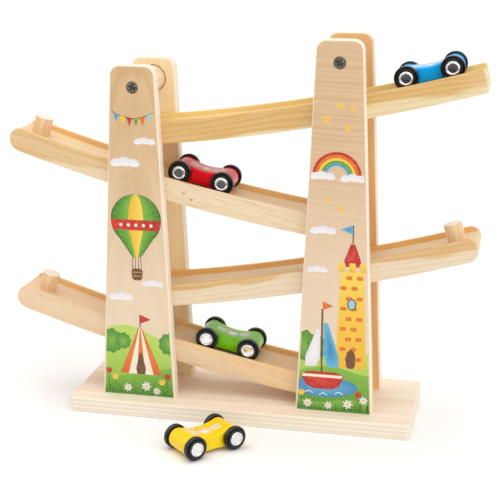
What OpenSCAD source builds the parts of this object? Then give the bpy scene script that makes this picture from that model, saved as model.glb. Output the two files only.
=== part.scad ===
// Zig-zag car track: four curved wooden ramps held between two towers on a base board, with four small cars.
// A car rolls down a ramp, drops off its low end on to the next ramp, turns over and rolls back.
// X runs along the base, Y to the back and Z up. The origin is the middle of the base's underside.

/* [Base board] */
// Length of the base board
base_l = 268; // [250:1:320]
// Width of the base board
base_w = 94; // [80:1:130]
// Thickness of the base board
base_t = 12; // [9:0.5:18]
// Radius of the base board's corners seen from above
base_corner_r = 4; // [1:0.5:10]

/* [Towers] */
// Distance of the left tower's middle from the middle of the base
left_tower_x = 81; // [70:1:95]
// Distance of the right tower's middle from the middle of the base
right_tower_x = 74; // [66:1:95]
// Height of the left posts above the floor of the top ramp
left_post_h = 48.7; // [47.7:0.1:80]
// Height of the right posts above the floor of the top ramp
right_post_h = 48.1; // [47.6:0.1:80]
// Width of a post at its foot
post_foot_w = 59.5; // [50:0.5:70]
// Width of a post at its top, before the corners are rounded
post_top_w = 34; // [30:0.5:44]
// Thickness of a post
post_t = 10.5; // [9:0.5:15]
// Radius of a post's two top corners
post_corner_r = 8; // [3:0.5:12]

/* [Spacers and screws] */
// Diameter of the round spacer between the two posts of a tower
spacer_d = 20; // [14:0.5:22]
// Depth of a spacer's middle below the top of its posts
spacer_drop = 16.5; // [14:0.5:20]
// Diameter of the screw heads that show on the posts
spacer_screw_head_d = 9; // [7:0.5:11]
// Diameter of the spacer screws' shanks
spacer_screw_d = 4; // [3:0.5:5]
// Length of the spacer screws
spacer_screw_l = 28; // [20:1:31]
// Diameter of the base screws' heads
base_screw_head_d = 7.5; // [6:0.5:9]
// Diameter of the base screws' shanks
base_screw_d = 3.5; // [2.5:0.5:5]
// Length of the base screws
base_screw_l = 36; // [26:1:45]
// Distance between the two base screws of a post
base_screw_pitch = 34; // [20:1:42]

/* [Ramps] */
// Width of a ramp, which is also the gap between the two posts of a tower
ramp_w = 43; // [42:0.5:50]
// Thickness of a ramp from its underside to the top of its lips
ramp_t = 17.5; // [16:0.5:19]
// Height of a ramp's lips above its floor
lip_h = 4.2; // [2:0.1:5]
// Width of a ramp's lips
lip_w = 3.2; // [2.5:0.1:4.2]
// Radius of the long curve of a ramp's floor
ramp_r = 1421.2; // [1300:0.1:1600]
// Reach of a ramp's high end past the middle of its tower
ramp_reach = 103; // [95:1:110]
// Height of the bottom ramp's floor above the base, at its low end
bottom_ramp_rise = 17; // [15:0.1:30]
// Height of the third ramp's low end above the bottom ramp's
third_ramp_rise = 65.8; // [65:0.1:80]
// Height of the second ramp's low end above the third ramp's
second_ramp_rise = 62.7; // [61:0.1:80]
// Height of the top ramp's low end above the second ramp's
top_ramp_rise = 66.3; // [65:0.1:80]
// Slope of the top ramp at its low end, in degrees
top_ramp_slope = 5.3; // [5:0.1:5.6]
// Slope of the second ramp at its low end, in degrees
second_ramp_slope = 7.9; // [7.6:0.1:8.1]
// Slope of the third ramp at its low end, in degrees
third_ramp_slope = 6.6; // [6.3:0.1:6.9]
// Slope of the bottom ramp at its low end, in degrees
bottom_ramp_slope = 8.1; // [7.8:0.1:8.4]
// Radius of the upper corner of a ramp's nose
nose_upper_r = 7.5; // [3:0.5:7.5]
// Radius of the lower corner of a ramp's nose
nose_lower_r = 9.5; // [5:0.5:9.5]
// Radius of the corners of a ramp's square-cut ends
end_corner_r = 2.5; // [0.5:0.5:4]

/* [Pegs and dowels] */
// Diameter of the stop peg at a ramp's high end
peg_d = 14; // [9:0.5:16]
// Height of a stop peg above the ramp's floor
peg_h = 14.2; // [9:0.1:18]
// Depth of a stop peg in the ramp
peg_depth = 9; // [5:0.5:10]
// Distance of a stop peg's middle from the tip of the ramp
peg_inset = 16.4; // [13:0.1:20]
// Diameter of the hidden dowels that carry the ramps
dowel_d = 6; // [4:0.5:8]
// Depth of a dowel in its post
dowel_post_depth = 6.5; // [4:0.5:8]
// Depth of a dowel in its ramp
dowel_ramp_depth = 9; // [6:0.5:14]
// Distance of the dowels at a ramp's low end from that end
dowel_setback = 10; // [7:0.5:14]

/* [Cars] */
// Distance between a car's two axles
wheelbase = 34; // [32:0.5:36]
// Room on each side between a car's hub caps and the lips of a ramp
car_side_room = 0.75; // [0.5:0.05:3]
// Diameter of the round ends of a car's body
car_end_d = 15.2; // [13:0.2:15.6]
// Depth of the hollow in a car's back below the top of its round ends
car_back_dip = 3.1; // [1:0.1:4]
// Depth of the hollow in a car's belly above the bottom of its round ends
car_belly_dip = 1.3; // [0.5:0.1:4]
// Diameter of a wheel
wheel_d = 18; // [17:0.2:18.6]
// Width of a wheel's tread
tread_w = 3.8; // [3:0.1:4]
// Diameter of the step on a wheel's outer face
step_d = 13.8; // [12.6:0.2:15]
// Height of the step on a wheel's outer face
step_h = 1.2; // [0.8:0.1:1.3]
// Diameter of a hub cap
cap_d = 10.4; // [8:0.2:11]
// Thickness of a hub cap under its rim
cap_t = 0.8; // [0.6:0.1:1]
// Diameter of an axle
axle_d = 3; // [2:0.5:4]
// Gap between a wheel and the car's body
wheel_gap = 0.6; // [0.4:0.1:0.8]
// Place of the blue car along the top ramp, from its low end
blue_car_run = 223.1; // [40:0.1:235]
// Place of the red car along the second ramp, from its low end
red_car_run = 111.4; // [40:0.1:190]
// Place of the green car along the bottom ramp, from its low end
green_car_run = 90.6; // [40:0.1:190]
// Place of the yellow car along the base
yellow_car_x = -12; // [-80:1:80]
// Distance of the yellow car's middle from the base's front edge
yellow_car_out = 45; // [36:1:90]
// Turn of the yellow car away from the base's length, in degrees
yellow_car_turn = 47; // [30:1:60]

/* [Hidden] */

$fn = 96;
// Facets of a full turn of the ramps' long curves
long_curve_fn = 1440;

// Extra reach of a cut past the face that it opens
overrun = 1;
// Radial clearance of a dowel, peg or screw in its hole
hole_clear = 0.05;
// Free depth past the end of a dowel, peg or screw
end_clear = 0.5;
// Radial clearance of an axle in a car's body
axle_clear = 0.08;
// Radial clearance of an axle in its wheels, and of a hub cap in its recess
press_clear = 0.01;
// Clearance between a wheel and the floor of its ramp
roll_clear = 0.2;

// Radius of the rounded shoulders of a wheel's tread
shoulder_r = 0.9;
// Radius of the rounded edge of a wheel's step
step_edge_r = 0.5;
// Depth of a hub cap's recess in its wheel
cap_recess = 0.8;
// Radius of the raised rim of a hub cap
cap_rim_r = 0.5;
// Width of a screw's cross recess
cross_w = 1.2;
// Depth of a screw's cross recess
cross_depth = 1.4;

ply_colour = [0.93, 0.83, 0.68];
post_colour = [0.95, 0.86, 0.72];
pine_colour = [0.92, 0.77, 0.52];
beech_colour = [0.85, 0.67, 0.48];
screw_colour = [0.35, 0.34, 0.33];
tyre_colour = [0.10, 0.10, 0.11];
cap_colour = [0.82, 0.82, 0.84];
axle_colour = [0.68, 0.69, 0.71];
blue_paint = [0.00, 0.48, 0.78];
red_paint = [0.80, 0.02, 0.04];
green_paint = [0.35, 0.68, 0.05];
yellow_paint = [0.98, 0.80, 0.02];

// Y of the middle of a front post's thickness, measured from the middle of the tower
post_mid_y = ramp_w / 2 + post_t / 2;
// Share of the shank's diameter at the point of a screw
point_share = 0.4;
// Share of a ramp corner's radius at which its middle lies from the faces, so that the arc crosses them cleanly
corner_inset_share = 0.995;
// Share of a car end's radius by which the upper and lower halves of a car's side view reach past the axles
car_lap_share = 0.3;

// Radii of a ramp's long curves, from the lips' top to the underside
lip_r = ramp_r - lip_h;
under_r = lip_r + ramp_t;
// Radius of the row of dowels, in the middle of the ramp's floor
dowel_r = (ramp_r + under_r) / 2;
// Radius at which the upper corner of a nose meets its tip
tip_r = lip_r + nose_upper_r;
// Width of the channel between the lips
channel_w = ramp_w - 2 * lip_w;

// Heights of the upper ramps' floors above the base, at their low ends
third_floor_h = bottom_ramp_rise + third_ramp_rise;
second_floor_h = third_floor_h + second_ramp_rise;
top_floor_h = second_floor_h + top_ramp_rise;

// A ramp is its hand (1 when its high end is at the right), the height of its floor at the low end, its slope there,
// and the corner radii of its high end.
top_ramp_set = [1, top_floor_h, top_ramp_slope, end_corner_r, end_corner_r];
second_ramp_set = [-1, second_floor_h, second_ramp_slope, nose_upper_r, nose_lower_r];
third_ramp_set = [1, third_floor_h, third_ramp_slope, nose_upper_r, nose_lower_r];
bottom_ramp_set = [-1, bottom_ramp_rise, bottom_ramp_slope, nose_upper_r, nose_lower_r];
all_ramps = [top_ramp_set, second_ramp_set, third_ramp_set, bottom_ramp_set];

function hand(ramp) = ramp[0];
function floor_h(ramp) = ramp[1];
function slope(ramp) = ramp[2];
function upper_corner_r(ramp) = ramp[3];
function lower_corner_r(ramp) = ramp[4];
// X of the middle of the tower that holds a ramp's low end, and of the one that holds its high end
function low_tower_x(ramp) = hand(ramp) > 0 ? -left_tower_x : right_tower_x;
function high_tower_x(ramp) = hand(ramp) > 0 ? right_tower_x : -left_tower_x;
// Middle of a ramp's long curve
function curve_x(ramp) = low_tower_x(ramp) - hand(ramp) * ramp_r * sin(slope(ramp));
function curve_z(ramp) = base_t + floor_h(ramp) + ramp_r * cos(slope(ramp));
// Angle up a ramp's curve, from straight below its middle, of a point at the given X and radius
function angle_at(ramp, x, radius) = asin(hand(ramp) * (x - curve_x(ramp)) / radius);
function tip_angle(ramp) = angle_at(ramp, high_tower_x(ramp) + hand(ramp) * ramp_reach, tip_r);
// Angle covered by a length along a curve of the given radius
function arc_angle(length, radius) = length / radius * 180 / PI;
function peg_angle(ramp) = tip_angle(ramp) - arc_angle(peg_inset, ramp_r);
function low_dowel_angle(ramp) = slope(ramp) + arc_angle(dowel_setback, dowel_r);
function high_dowel_angle(ramp) = angle_at(ramp, high_tower_x(ramp), dowel_r);
// Point of a ramp's curve in the part's own X and Z
function curve_point(ramp, angle, radius) = [
    curve_x(ramp) + hand(ramp) * radius * sin(angle),
    curve_z(ramp) - radius * cos(angle)
];
function low_dowel_point(ramp) = curve_point(ramp, low_dowel_angle(ramp), dowel_r);
function high_dowel_point(ramp) = curve_point(ramp, high_dowel_angle(ramp), dowel_r);
// Height of a ramp's floor above the base where the ramp passes the given X
function floor_h_at(ramp, x) = curve_point(ramp, angle_at(ramp, x, ramp_r), ramp_r)[1] - base_t;
// Heights of the posts above the base
left_tower_h = top_floor_h + left_post_h;
right_tower_h = floor_h_at(top_ramp_set, right_tower_x) + right_post_h;
// Dowels in the left posts, and in the right posts
left_dowel_points = [for (r = all_ramps) hand(r) > 0 ? low_dowel_point(r) : high_dowel_point(r)];
right_dowel_points = [for (r = all_ramps) hand(r) > 0 ? high_dowel_point(r) : low_dowel_point(r)];

// A car's axles and body
wheel_r = wheel_d / 2;
wheel_w = tread_w + step_h;
axle_x = wheelbase / 2;
car_end_r = car_end_d / 2;
// Radius of a hollow of the given depth, which runs into the round ends without a corner
function hollow_r(dip) = (axle_x * axle_x + dip * dip) / (2 * dip) - car_end_r;
// X at which such a hollow meets the round ends
function hollow_x(dip) = axle_x * hollow_r(dip) / (hollow_r(dip) + car_end_r);
// Height of a hub cap's rim above the face of its wheel
cap_proud = cap_t + cap_rim_r - cap_recess;
// Width of a car's body, which leaves the car its room in the channel
car_body_w = channel_w - 2 * (car_side_room + cap_proud + wheel_w + wheel_gap);
axle_l = car_body_w + 2 * (wheel_gap + wheel_w - cap_recess);
// Radius from a ramp's middle to the axles of a car on it, and to the car's own middle
axle_path_r = ramp_r - roll_clear - wheel_r;
car_path_r = sqrt(axle_path_r * axle_path_r - axle_x * axle_x);
yellow_car_y = -base_w / 2 - yellow_car_out;

// Outline of a rectangle with round corners
module round_rectangle(l, w, r) {
    square([l - 2 * r, w], center = true);
    square([l, w - 2 * r], center = true);
    for (x = [-1, 1], y = [-1, 1])
        translate([x * (l / 2 - r), y * (w / 2 - r)])
            circle(r);
}

// Countersunk screw with its head's face on the XY plane, pointing down; grow widens it to cut its hole
module screw_body(head_d, shank_d, l, grow) {
    head_r = head_d / 2 + grow;
    shank_r = shank_d / 2 + grow;
    point_l = shank_d;
    rotate_extrude()
        polygon([
            [0, 0], [head_r, 0], [shank_r, shank_r - head_r], [shank_r, point_l - l],
            [shank_r * point_share, -l], [0, -l]
        ]);
}

module cross_screw(head_d, shank_d, l) {
    cross_l = head_d / 2;
    difference() {
        screw_body(head_d, shank_d, l, 0);
        for (turn = [0, 90])
            rotate(turn)
                translate([-cross_l / 2, -cross_w / 2, -cross_depth])
                    cube([cross_l, cross_w, cross_depth + overrun]);
    }
}

// Places of the screws that go up through the base into the posts
module base_screw_places() {
    for (tower = [-left_tower_x, right_tower_x], side = [-1, 1], x = [-1, 1])
        translate([tower + x * base_screw_pitch / 2, side * post_mid_y, 0])
            rotate([180, 0, 0])
                children();
}

// Places of a tower's two spacer screws, on the outer faces of its posts and pointing inwards
module spacer_screw_places(tower_x, post_h) {
    for (turn = [0, 180])
        translate([tower_x, 0, base_t + post_h - spacer_drop])
            rotate([0, 0, turn])
                translate([0, -ramp_w / 2 - post_t, 0])
                    rotate([90, 0, 0])
                        children();
}

module base_board() {
    color(ply_colour)
        difference() {
            linear_extrude(base_t)
                round_rectangle(base_l, base_w, base_corner_r);
            base_screw_places()
                screw_body(base_screw_head_d, base_screw_d, base_screw_l + end_clear, hole_clear);
        }
}

module base_screws() {
    color(screw_colour)
        base_screw_places()
            cross_screw(base_screw_head_d, base_screw_d, base_screw_l);
}

// Outline of a post seen from the front: straight tapered sides that run into round top corners
module post_outline(h) {
    lean = (post_foot_w - post_top_w) / 2 / h;
    stretch = sqrt(1 + lean * lean);
    corner_z = h - post_corner_r;
    corner_x = post_foot_w / 2 - lean * corner_z - post_corner_r * stretch;
    touch_x = corner_x + post_corner_r / stretch;
    touch_z = corner_z + post_corner_r * lean / stretch;
    polygon([
        [-post_foot_w / 2, 0], [post_foot_w / 2, 0], [touch_x, touch_z], [corner_x, h],
        [-corner_x, h], [-touch_x, touch_z]
    ]);
    for (side = [-1, 1])
        translate([side * corner_x, corner_z])
            circle(post_corner_r);
}

// Post of the tower at tower_x; side is -1 for the front post and 1 for the rear one
module post(tower_x, h, side, dowel_points) {
    color(post_colour)
        difference() {
            translate([tower_x, side * post_mid_y + post_t / 2, base_t])
                rotate([90, 0, 0])
                    linear_extrude(post_t)
                        post_outline(h);
            for (p = dowel_points)
                translate([p[0], side * ramp_w / 2, p[1]])
                    rotate([-side * 90, 0, 0])
                        translate([0, 0, -overrun])
                            cylinder(r = dowel_d / 2 + hole_clear, h = dowel_post_depth + end_clear + overrun);
            base_screw_places()
                screw_body(base_screw_head_d, base_screw_d, base_screw_l + end_clear, hole_clear);
            spacer_screw_places(tower_x, h)
                screw_body(spacer_screw_head_d, spacer_screw_d, spacer_screw_l + end_clear, hole_clear);
        }
}

module left_front_post() post(-left_tower_x, left_tower_h, -1, left_dowel_points);
module left_rear_post() post(-left_tower_x, left_tower_h, 1, left_dowel_points);
module right_front_post() post(right_tower_x, right_tower_h, -1, right_dowel_points);
module right_rear_post() post(right_tower_x, right_tower_h, 1, right_dowel_points);

// Round spacer between the two posts of a tower
module spacer(tower_x, post_h) {
    color(beech_colour)
        difference() {
            translate([tower_x, 0, base_t + post_h - spacer_drop])
                rotate([90, 0, 0])
                    cylinder(d = spacer_d, h = ramp_w, center = true);
            spacer_screw_places(tower_x, post_h)
                screw_body(spacer_screw_head_d, spacer_screw_d, spacer_screw_l + end_clear, hole_clear);
        }
}

module spacer_screws(tower_x, post_h) {
    color(screw_colour)
        spacer_screw_places(tower_x, post_h)
            cross_screw(spacer_screw_head_d, spacer_screw_d, spacer_screw_l);
}

module left_spacer() spacer(-left_tower_x, left_tower_h);
module right_spacer() spacer(right_tower_x, right_tower_h);
module left_spacer_screws() spacer_screws(-left_tower_x, left_tower_h);
module right_spacer_screws() spacer_screws(right_tower_x, right_tower_h);

// Moves a ramp's own frame, with its origin at the middle of the long curve, to the ramp's place
module ramp_frame(ramp) {
    translate([curve_x(ramp), 0, curve_z(ramp)])
        rotate([0, 0, hand(ramp) > 0 ? 0 : 180])
            children();
}

// Place on the long curve, with X uphill and Z towards the curve's middle
module on_curve(angle, radius) {
    rotate([0, -angle, 0])
        translate([0, 0, -radius])
            children();
}

// What a round corner takes off the end of a ramp's outline: out is 1 at the high end, up is 1 at the lips
module corner_cut(end_angle, edge_r, r, out, up) {
    inset = r * corner_inset_share;
    middle_r = edge_r + up * inset;
    cut = r + overrun;
    rotate(end_angle - out * asin(inset / middle_r))
        translate([0, -middle_r])
            difference() {
                translate([out > 0 ? 0 : -cut, up > 0 ? 0 : -cut])
                    square(cut);
                circle(r);
            }
}

// Side view of a ramp: a ring sector with its four corners rounded
module ramp_outline(ramp) {
    low = slope(ramp);
    high = tip_angle(ramp);
    far_r = 2 * under_r;
    difference() {
        intersection() {
            difference() {
                circle(under_r, $fn = long_curve_fn);
                circle(lip_r, $fn = long_curve_fn);
            }
            polygon([
                [0, 0], [far_r * sin(low), -far_r * cos(low)], [far_r * sin(high), -far_r * cos(high)]
            ]);
        }
        corner_cut(low, lip_r, end_corner_r, -1, 1);
        corner_cut(low, under_r, end_corner_r, -1, -1);
        corner_cut(high, lip_r, upper_corner_r(ramp), 1, 1);
        corner_cut(high, under_r, lower_corner_r(ramp), 1, -1);
    }
}

// Places of a ramp's four dowels, on its two sides and pointing outwards
module dowel_places(ramp) {
    for (angle = [low_dowel_angle(ramp), high_dowel_angle(ramp)], turn = [-90, 90])
        on_curve(angle, dowel_r)
            rotate([turn, 0, 0])
                translate([0, 0, ramp_w / 2])
                    children();
}

module ramp(ramp, pegged) {
    color(pine_colour)
        ramp_frame(ramp)
            difference() {
                rotate([90, 0, 0])
                    linear_extrude(ramp_w, center = true)
                        ramp_outline(ramp);
                rotate([90, 0, 0])
                    cylinder(r = ramp_r, h = channel_w, center = true, $fn = long_curve_fn);
                dowel_places(ramp)
                    translate([0, 0, -dowel_ramp_depth - end_clear])
                        cylinder(r = dowel_d / 2 + hole_clear, h = dowel_ramp_depth + end_clear + overrun);
                if (pegged)
                    on_curve(peg_angle(ramp), ramp_r)
                        translate([0, 0, -peg_depth - end_clear])
                            cylinder(r = peg_d / 2 + hole_clear, h = peg_depth + end_clear + overrun);
            }
}

module ramp_dowels(ramp) {
    color(beech_colour)
        ramp_frame(ramp)
            dowel_places(ramp)
                translate([0, 0, -dowel_ramp_depth])
                    cylinder(d = dowel_d, h = dowel_ramp_depth + dowel_post_depth);
}

module ramp_peg(ramp) {
    color(beech_colour)
        ramp_frame(ramp)
            on_curve(peg_angle(ramp), ramp_r)
                translate([0, 0, -peg_depth])
                    cylinder(d = peg_d, h = peg_depth + peg_h);
}

module top_ramp() ramp(top_ramp_set, false);
module second_ramp() ramp(second_ramp_set, true);
module third_ramp() ramp(third_ramp_set, true);
module bottom_ramp() ramp(bottom_ramp_set, true);
module top_ramp_dowels() ramp_dowels(top_ramp_set);
module second_ramp_dowels() ramp_dowels(second_ramp_set);
module third_ramp_dowels() ramp_dowels(third_ramp_set);
module bottom_ramp_dowels() ramp_dowels(bottom_ramp_set);
module second_ramp_peg() ramp_peg(second_ramp_set);
module third_ramp_peg() ramp_peg(third_ramp_set);
module bottom_ramp_peg() ramp_peg(bottom_ramp_set);

// Moves a car, drawn with its origin midway between the axles, to its place on a ramp with its front downhill
module car_on_ramp(ramp, run) {
    ramp_frame(ramp)
        on_curve(slope(ramp) + arc_angle(run, ramp_r), car_path_r)
            rotate(180)
                children();
}

module blue_car() car_on_ramp(top_ramp_set, blue_car_run) children();
module red_car() car_on_ramp(second_ramp_set, red_car_run) children();
module green_car() car_on_ramp(bottom_ramp_set, green_car_run) children();
module yellow_car() translate([yellow_car_x, yellow_car_y, wheel_r]) rotate(yellow_car_turn) children();

// Upper half of a car's side view between its round ends, with a hollow of the given depth; it reaches a little below
// the axles so that it joins the lower half
module hollow_half(dip) {
    lap = car_end_r * car_lap_share;
    difference() {
        translate([-hollow_x(dip), -lap])
            square([2 * hollow_x(dip), car_end_r + lap]);
        translate([0, car_end_r - dip + hollow_r(dip)])
            circle(hollow_r(dip), $fn = long_curve_fn);
    }
}

// Side view of a car's body: round ends joined by a hollow back and a shallower hollow belly
module car_outline() {
    hollow_half(car_back_dip);
    rotate(180)
        hollow_half(car_belly_dip);
    for (side = [-1, 1])
        translate([side * axle_x, 0])
            circle(car_end_r);
}

module car_body(paint) {
    color(paint)
        rotate([90, 0, 0])
            difference() {
                linear_extrude(car_body_w, center = true)
                    car_outline();
                for (side = [-1, 1])
                    translate([side * axle_x, 0, 0])
                        cylinder(r = axle_d / 2 + axle_clear, h = car_body_w + 2 * overrun, center = true);
            }
}

// Steel axle; end is 1 for the axle at the car's front and -1 for the rear one
module axle(end) {
    color(axle_colour)
        translate([end * axle_x, 0, 0])
            rotate([90, 0, 0])
                cylinder(d = axle_d, h = axle_l, center = true);
}

// Places of the two wheels of an axle, on the sides of the body and with Z outwards
module wheel_places(end) {
    for (turn = [-90, 90])
        translate([end * axle_x, 0, 0])
            rotate([turn, 0, 0])
                translate([0, 0, car_body_w / 2 + wheel_gap])
                    children();
}

// Section of a wheel: a tread with round shoulders, a step on the outer face and a recess for the hub cap
module wheel_section() {
    hole_r = axle_d / 2 + press_clear;
    recess_r = cap_d / 2 + press_clear;
    difference() {
        union() {
            translate([hole_r, 0])
                square([wheel_r - shoulder_r - hole_r, tread_w]);
            translate([hole_r, shoulder_r])
                square([wheel_r - hole_r, tread_w - 2 * shoulder_r]);
            for (y = [shoulder_r, tread_w - shoulder_r])
                translate([wheel_r - shoulder_r, y])
                    circle(shoulder_r);
            translate([hole_r, 0])
                square([step_d / 2 - hole_r, wheel_w - step_edge_r]);
            translate([hole_r, 0])
                square([step_d / 2 - step_edge_r - hole_r, wheel_w]);
            translate([step_d / 2 - step_edge_r, wheel_w - step_edge_r])
                circle(step_edge_r);
        }
        translate([0, wheel_w - cap_recess])
            square([recess_r, cap_recess + overrun]);
    }
}

module wheels(end) {
    color(tyre_colour)
        wheel_places(end)
            rotate_extrude()
                wheel_section();
}

// Hub caps: a flat disc with a raised round rim, pressed into the recess of each wheel
module hub_caps(end) {
    color(cap_colour)
        wheel_places(end)
            translate([0, 0, wheel_w - cap_recess])
                rotate_extrude() {
                    square([cap_d / 2, cap_t]);
                    intersection() {
                        translate([cap_d / 2 - cap_rim_r, cap_t])
                            circle(cap_rim_r);
                        square([cap_d / 2, cap_t + cap_rim_r]);
                    }
                }
}

base_board();
left_front_post();
left_rear_post();
right_front_post();
right_rear_post();
left_spacer();
right_spacer();
left_spacer_screws();
right_spacer_screws();
base_screws();
top_ramp();
second_ramp();
third_ramp();
bottom_ramp();
top_ramp_dowels();
second_ramp_dowels();
third_ramp_dowels();
bottom_ramp_dowels();
second_ramp_peg();
third_ramp_peg();
bottom_ramp_peg();
blue_car() car_body(blue_paint);  // blue_car_body
blue_car() axle(1);  // blue_car_front_axle
blue_car() axle(-1);  // blue_car_rear_axle
blue_car() wheels(1);  // blue_car_front_wheels
blue_car() wheels(-1);  // blue_car_rear_wheels
blue_car() hub_caps(1);  // blue_car_front_caps
blue_car() hub_caps(-1);  // blue_car_rear_caps
red_car() car_body(red_paint);  // red_car_body
red_car() axle(1);  // red_car_front_axle
red_car() axle(-1);  // red_car_rear_axle
red_car() wheels(1);  // red_car_front_wheels
red_car() wheels(-1);  // red_car_rear_wheels
red_car() hub_caps(1);  // red_car_front_caps
red_car() hub_caps(-1);  // red_car_rear_caps
green_car() car_body(green_paint);  // green_car_body
green_car() axle(1);  // green_car_front_axle
green_car() axle(-1);  // green_car_rear_axle
green_car() wheels(1);  // green_car_front_wheels
green_car() wheels(-1);  // green_car_rear_wheels
green_car() hub_caps(1);  // green_car_front_caps
green_car() hub_caps(-1);  // green_car_rear_caps
yellow_car() car_body(yellow_paint);  // yellow_car_body
yellow_car() axle(1);  // yellow_car_front_axle
yellow_car() axle(-1);  // yellow_car_rear_axle
yellow_car() wheels(1);  // yellow_car_front_wheels
yellow_car() wheels(-1);  // yellow_car_rear_wheels
yellow_car() hub_caps(1);  // yellow_car_front_caps
yellow_car() hub_caps(-1);  // yellow_car_rear_caps
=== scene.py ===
import bmesh
import bpy
import numpy as np
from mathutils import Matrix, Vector
from mathutils.geometry import tessellate_polygon


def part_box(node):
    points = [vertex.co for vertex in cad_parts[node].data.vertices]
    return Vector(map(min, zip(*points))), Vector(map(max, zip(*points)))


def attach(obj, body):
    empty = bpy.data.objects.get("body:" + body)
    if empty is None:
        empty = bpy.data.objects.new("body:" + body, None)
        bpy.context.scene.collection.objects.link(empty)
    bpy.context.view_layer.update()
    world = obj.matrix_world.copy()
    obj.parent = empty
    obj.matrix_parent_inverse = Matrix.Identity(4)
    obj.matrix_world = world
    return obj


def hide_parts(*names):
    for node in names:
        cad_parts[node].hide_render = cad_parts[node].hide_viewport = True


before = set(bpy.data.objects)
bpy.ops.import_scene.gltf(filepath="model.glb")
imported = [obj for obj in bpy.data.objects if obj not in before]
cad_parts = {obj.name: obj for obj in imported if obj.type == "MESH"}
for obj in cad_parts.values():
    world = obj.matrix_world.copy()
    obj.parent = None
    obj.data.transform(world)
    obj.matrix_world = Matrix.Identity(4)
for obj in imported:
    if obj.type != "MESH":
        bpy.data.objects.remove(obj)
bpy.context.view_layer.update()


# Base board: birch plywood cut to a rectangle, with its corners and edges sanded round and its plies showing.
# Eight countersunk holes in its underside take the screws that hold the four posts.
MM = 0.001
PLIES = 7
BASE_T = 12.0
BASE_CORNER_R = 4.0
BASE_EDGE_R = 0.9
BASE_SCREW_X = (-98.0, -64.0, 57.0, 91.0)
BASE_SCREW_Y = (-26.75, 26.75)
COUNTERSINK = [(4.1, 0.0), (3.85, 0.25), (1.8, 2.3)]
CORNER_STEPS = 10


def box_of(name):
    """Low and high corner of a CAD node's box, in millimetres."""
    return (np.array(corner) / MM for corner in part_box(name))


def grid(*ways):
    """Places from their coordinates, which spread over each other's rows."""
    return np.stack(np.broadcast_arrays(*ways), -1)


def rounded_edges(low, high, edge_r, steps=7):
    """Rings through a board from its low face to its high one: height, inset of the outline, and a mark
    that rises from 0 on the faces to 1 on the cut edge. At each face height and inset follow a quarter
    circle of radius edge_r."""
    turn = np.linspace(0, np.pi / 2, steps)
    rise, inset, cut = edge_r * (1 - np.cos(turn)), edge_r * (1 - np.sin(turn)), np.sin(turn)
    return np.r_[low + rise, (high - rise)[::-1]], np.r_[inset, inset[::-1]], np.r_[cut, cut[::-1]]


def wall(rows, count, first=0, round_trip=True):
    """Quads between neighbouring points of neighbouring rows, each of count points, from index first on."""
    here = np.arange(count if round_trip else count - 1)
    after = (here + 1) % count
    row = first + count * np.arange(rows - 1)[:, None]
    quads = np.stack([row + here, row + after, row + count + after, row + count + here], -1)
    return quads.reshape(-1, 4).tolist()


def lid(points, ring, holes=()):
    """Flat face that fills a ring of point numbers and leaves out the rings in holes."""
    if not holes:
        return [list(ring)]
    numbers = np.concatenate([ring, *holes])
    corners = tessellate_polygon([points[r].tolist() for r in (ring, *holes)])
    return numbers[np.array(corners)].tolist()


def turned(profile, start, axis, count=64):
    """Rings of a turned piece: profile is radius and distance along the axis, swept through a full turn."""
    axis = np.asarray(axis, float) / np.linalg.norm(axis)
    side = np.cross(axis, (0.0, 1.0, 0.0) if abs(axis[1]) < 0.9 else (1.0, 0.0, 0.0))
    side = side / np.linalg.norm(side)
    turn = np.linspace(0, 2 * np.pi, count, endpoint=False)
    spoke = np.cos(turn)[:, None] * side + np.sin(turn)[:, None] * np.cross(axis, side)
    radius, reach = np.asarray(profile, float).T
    return np.asarray(start, float) + radius[:, None, None] * spoke + reach[:, None, None] * axis


def board(rings, holes_low=(), holes_high=()):
    """Points and faces of a board: a wall through its rings and a lid on each face, with round holes in the
    lids. A hole is a stack of rings that starts in the face and is closed at its far end."""
    rows, count = rings.shape[:2]
    points, faces = [rings.reshape(-1, 3)], wall(rows, count)
    total, mouths = rows * count, ([], [])
    for face, holes in enumerate((holes_low, holes_high)):
        for hole in holes:
            deep, n = hole.shape[:2]
            points.append(hole.reshape(-1, 3))
            faces += wall(deep, n, total) + lid(None, range(total + (deep - 1) * n, total + deep * n))
            mouths[face].append(np.arange(total, total + n))
            total += deep * n
    points = np.concatenate(points)
    faces += lid(points, np.arange(count), mouths[0])
    faces += lid(points, np.arange((rows - 1) * count, rows * count), mouths[1])
    return points, faces


def edge_mark(cut, rings, points):
    """Mark of a board's cut edge: each ring's own value on its points, and 0 in the holes."""
    mark = np.zeros(len(points))
    mark[:cut.size * rings.shape[1]] = np.repeat(cut, rings.shape[1])
    return {"cut": mark}


def placed(name, data):
    """Object that is put in the scene."""
    made = bpy.data.objects.new(name, data)
    bpy.context.scene.collection.objects.link(made)
    return made


def piece(name, points, faces, body, finish, marks=None, crease=40):
    """Mesh object from points in millimetres, shaded smooth up to the crease angle, with its faces turned
    outwards. marks are named values or colours of the points, for the finish."""
    mesh = bpy.data.meshes.new(name)
    mesh.from_pydata((points * MM).tolist(), [], faces)
    for mark, values in (marks or {}).items():
        colour = np.ndim(values) == 2
        layer = mesh.attributes.new(mark, "FLOAT_COLOR" if colour else "FLOAT", "POINT")
        layer.data.foreach_set("color" if colour else "value", np.asarray(values, np.float32).ravel())
    shell = bmesh.new()
    shell.from_mesh(mesh)
    bmesh.ops.recalc_face_normals(shell, faces=shell.faces)
    shell.to_mesh(mesh)
    shell.free()
    mesh.shade_smooth()
    mesh.set_sharp_from_angle(angle=np.radians(crease))
    mesh.materials.append(finish)
    made = placed(name, mesh)
    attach(made, body)
    return made


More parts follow.
